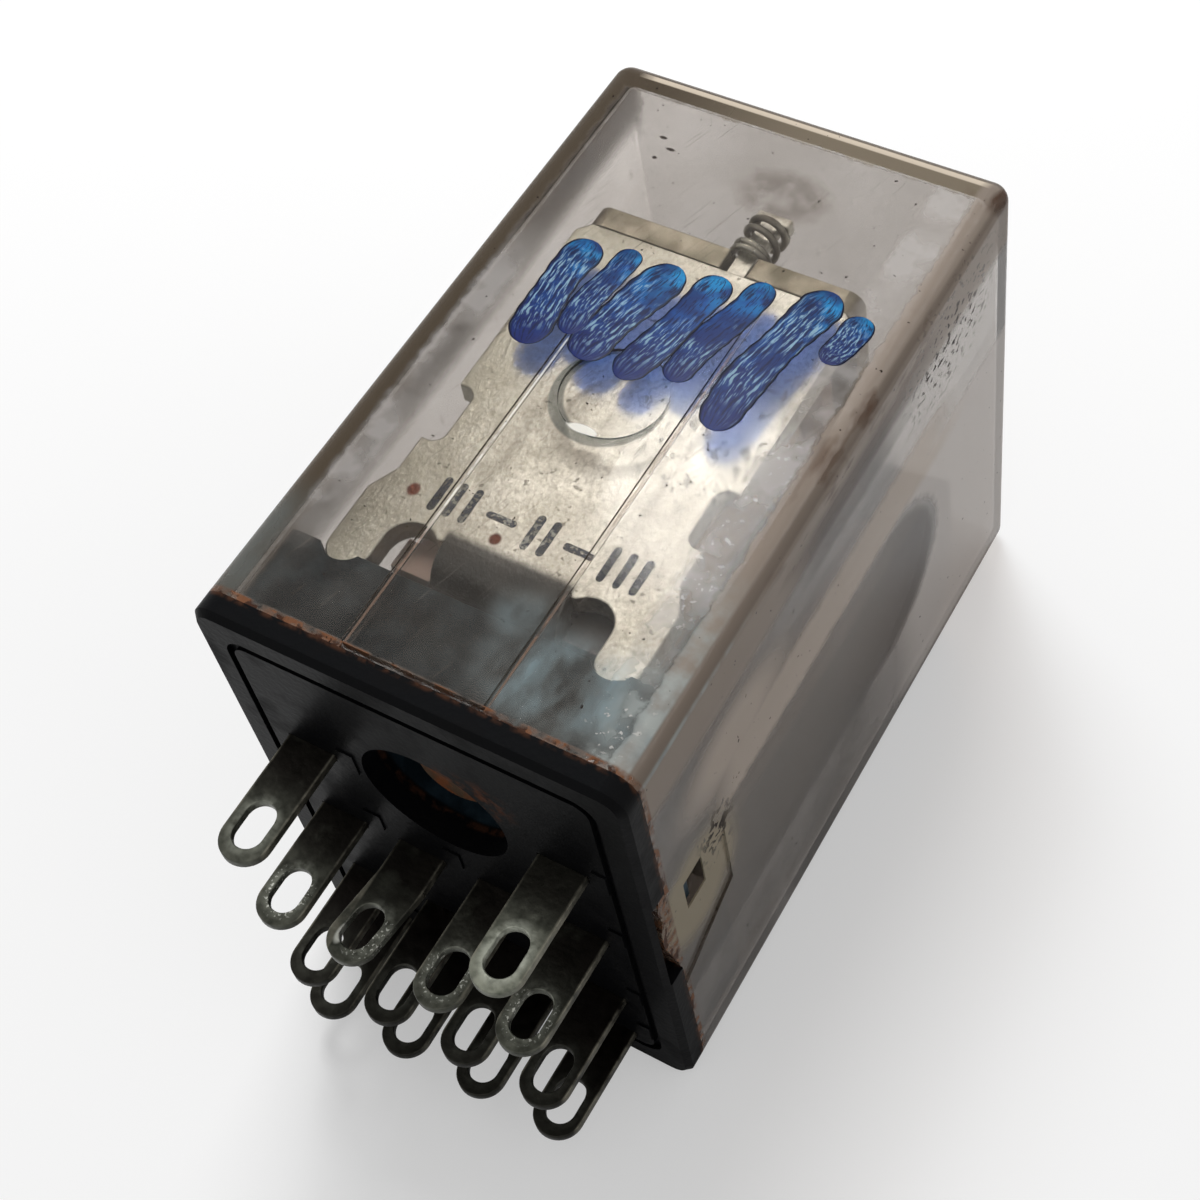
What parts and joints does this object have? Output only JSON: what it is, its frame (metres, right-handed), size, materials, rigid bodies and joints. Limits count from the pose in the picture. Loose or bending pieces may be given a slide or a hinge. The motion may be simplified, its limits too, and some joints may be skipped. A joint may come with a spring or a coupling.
{
  "type": "plug-in relay",
  "caption": "Miniature changeover relay with flat plug-in blades, a clear push-fit cover and a hinged armature that moves sprung contacts.",
  "frame": {"origin": "centre of the seating face, the underside of the base that meets the socket", "axes": "+Y runs from the blades to the cover's top, +Z points out of the coil side, +X is to the right looking along +Y; the relay lies on its back"},
  "size_m": [0.0216, 0.0424, 0.028],
  "materials": {
    "phenolic": "moulded black phenolic, dusty",
    "clear_cover": "clear polycarbonate gone smoky and scratched",
    "zinc_steel": "zinc-plated steel sheet",
    "soft_iron": "turned soft iron",
    "rusty_steel": "rusty steel washer",
    "nylon": "moulded natural nylon",
    "enamelled_copper": "enamelled copper wire",
    "polyester_tape": "wrapped polyester tape",
    "spring_steel": "drawn spring wire",
    "block_moulding": "moulded dark insulator",
    "tinned_brass": "tinned brass, tarnished",
    "copper_braid": "bare copper braid",
    "silver": "silver alloy contact",
    "carrier_moulding": "moulded brown-black insulator",
    "spring_bronze": "rolled phosphor bronze"
  },
  "bodies": {
    "housing": {"base": "phenolic", "cover": "clear_cover", "yoke": "zinc_steel", "core": "soft_iron", "core_washer": "rusty_steel", "bobbin": "nylon", "coil_winding": "enamelled_copper", "coil_tape": "polyester_tape", "return_spring": "spring_steel", "contact_block": "block_moulding", "coil_terminal_left": "tinned_brass", "coil_terminal_right": "tinned_brass", "coil_lead_left": "enamelled_copper", "coil_lead_right": "enamelled_copper", "common_terminal_1": "tinned_brass", "common_terminal_2": "tinned_brass", "common_terminal_3": "tinned_brass", "common_terminal_4": "tinned_brass", "no_terminal_1": "tinned_brass", "no_terminal_2": "tinned_brass", "no_terminal_3": "tinned_brass", "no_terminal_4": "tinned_brass", "nc_terminal_1": "tinned_brass", "nc_terminal_2": "tinned_brass", "nc_terminal_3": "tinned_brass", "nc_terminal_4": "tinned_brass", "common_lead_1": "copper_braid", "common_lead_2": "copper_braid", "common_lead_3": "copper_braid", "common_lead_4": "copper_braid", "no_contact_1": "silver", "no_contact_2": "silver", "no_contact_3": "silver", "no_contact_4": "silver", "nc_contact_1": "silver", "nc_contact_2": "silver", "nc_contact_3": "silver", "nc_contact_4": "silver"},
    "armature": {"armature": "zinc_steel", "contact_carrier": "carrier_moulding", "moving_spring_1": "spring_bronze", "moving_spring_2": "spring_bronze", "moving_spring_3": "spring_bronze", "moving_spring_4": "spring_bronze", "moving_contact_1": "silver", "moving_contact_2": "silver", "moving_contact_3": "silver", "moving_contact_4": "silver"}
  },
  "joints": [
    {"name": "armature_hinge", "type": "hinge", "parent": "housing", "child": "armature", "pos_m": [0, 0.02663, 0.0111], "axis": [-1, 0, 0], "range_deg": [0, 2.8], "stiffness_Nm_per_rad": 0.005, "springref_deg": -34.38, "deforming": ["common_lead_1", "common_lead_2", "common_lead_3", "common_lead_4"]}
  ]
}
